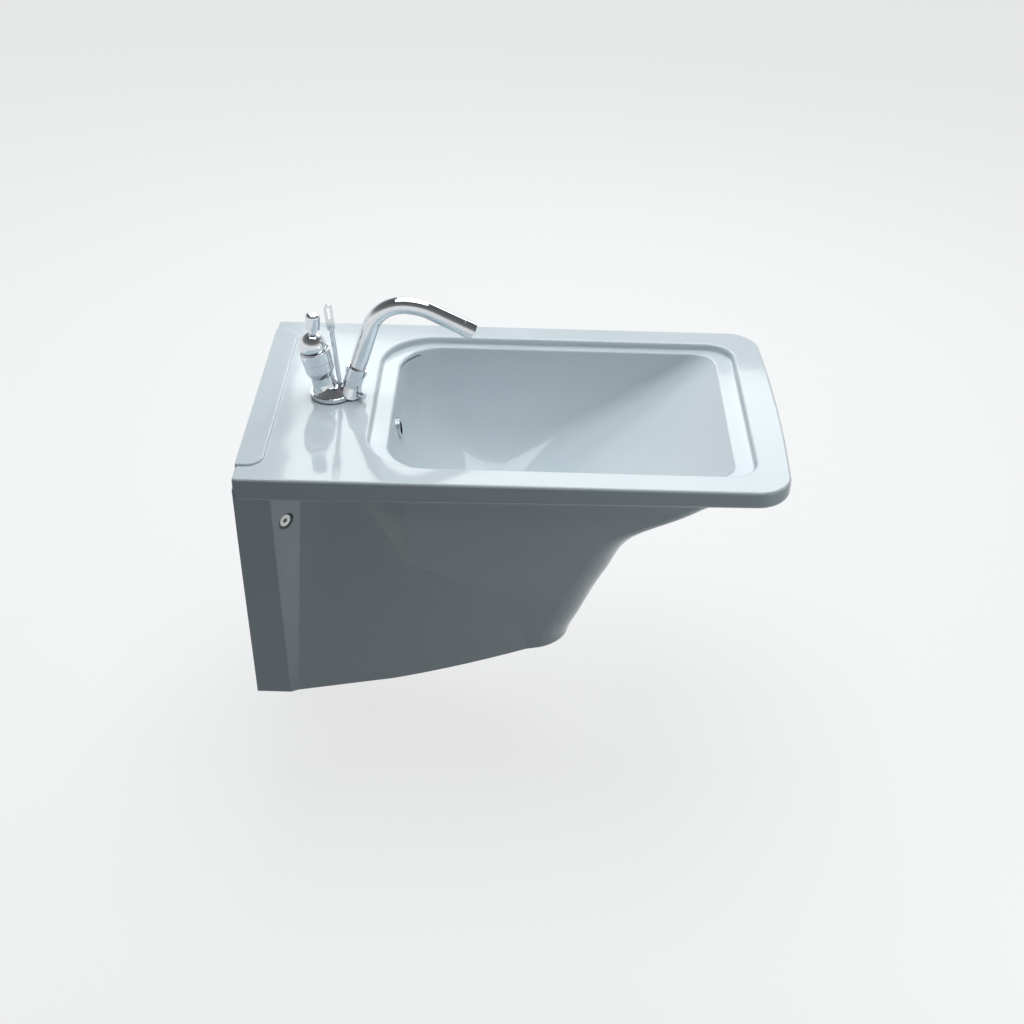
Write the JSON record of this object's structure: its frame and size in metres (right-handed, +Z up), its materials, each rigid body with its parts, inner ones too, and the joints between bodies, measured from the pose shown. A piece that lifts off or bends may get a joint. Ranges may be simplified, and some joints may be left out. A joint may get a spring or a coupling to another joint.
{
  "type": "wall hung bidet",
  "caption": "Wall hung ceramic bidet with a deck-mounted joystick mixer tap, swan neck spout with swivel nozzle, pop-up waste and bottle trap.",
  "frame": {"origin": "on the wall face, midway between the two wall bolts", "axes": "+X from the wall to the front of the bowl, +Y across to the user's right when they sit facing the tap, +Z up"},
  "size_m": [0.56, 0.35, 0.4228],
  "materials": {
    "glaze": "glossy glaze",
    "chrome": "polished",
    "steel": "zinc plated",
    "brass": "raw turned",
    "rubber": "matte",
    "plastic": "moulded"
  },
  "bodies": {
    "bidet": {"aerator_housing": "chrome", "base_gasket": "rubber", "cartridge": "plastic", "cartridge_nut": "brass", "ceramic_body": "glaze", "horseshoe_plate": "steel", "horseshoe_rubber": "rubber", "mounting_nut": "brass", "mounting_stud": "steel", "outlet_nut": "chrome", "outlet_pipe": "chrome", "overflow_ring": "chrome", "pivot_nut": "chrome", "pivot_seat": "plastic", "side_bushes": "plastic", "side_screws": "steel", "spout_lock_screw": "chrome", "spout_nut": "chrome", "spout_tube": "chrome", "tap_casting": "chrome", "tap_collar": "chrome", "trap_bottle": "chrome", "trap_cup": "chrome", "trap_cup_seal": "rubber", "trap_dip_pipe": "chrome", "trap_nut": "chrome", "trap_washer": "rubber", "wall_brackets": "steel", "waste_back_nut": "brass", "waste_flange": "chrome", "waste_lower_seal": "rubber", "waste_tee": "chrome", "waste_upper_seal": "rubber"},
    "swivel": {"spindle_fork": "plastic", "spindle_pin": "steel"},
    "stick": {"stick_spindle": "steel", "stick_cap": "chrome", "stick_knob": "chrome"},
    "lift": {"lift_rod": "chrome", "lift_link": "steel", "lift_clevis": "steel", "clevis_screw": "steel"},
    "pivot": {"pivot_rod": "steel"},
    "plug": {"plug_cap": "chrome", "plug_stem": "brass", "plug_seal": "rubber"},
    "nozzle": {"spray_nozzle": "plastic", "flow_screen": "steel"}
  },
  "joints": [
    {"name": "temperature_turn", "type": "hinge", "parent": "bidet", "child": "swivel", "pos_m": [0.062, 0, 0.12], "axis": [-0.2334, 0, 0.9724], "range_deg": [-45, 45]},
    {"name": "flow_tilt", "type": "hinge", "parent": "swivel", "child": "stick", "pos_m": [0.062, 0, 0.12], "axis": [0, 1, 0], "range_deg": [-28, 0]},
    {"name": "lift_pull", "type": "slide", "parent": "bidet", "child": "lift", "axis": [-0.1045, 0, 0.9945], "range_m": [0, 0.032]},
    {"name": "pivot_turn", "type": "hinge", "parent": "bidet", "child": "pivot", "pos_m": [0.232, 0, -0.134], "axis": [0, 1, 0], "range_deg": [0, 15.1]},
    {"name": "plug_slide", "type": "slide", "parent": "bidet", "child": "plug", "axis": [0, 0, 1], "range_m": [-0.0082, 0]},
    {"name": "nozzle_tilt", "type": "hinge", "parent": "bidet", "child": "nozzle", "pos_m": [0.22809, 0, 0.14255], "axis": [0, 1, 0], "range_deg": [-12, 12]}
  ],
  "couplings": [
    {"joint": "pivot_turn", "follows": "lift_pull", "rad_per_m": 8.1878},
    {"joint": "plug_slide", "follows": "lift_pull", "ratio": -0.25142}
  ]
}
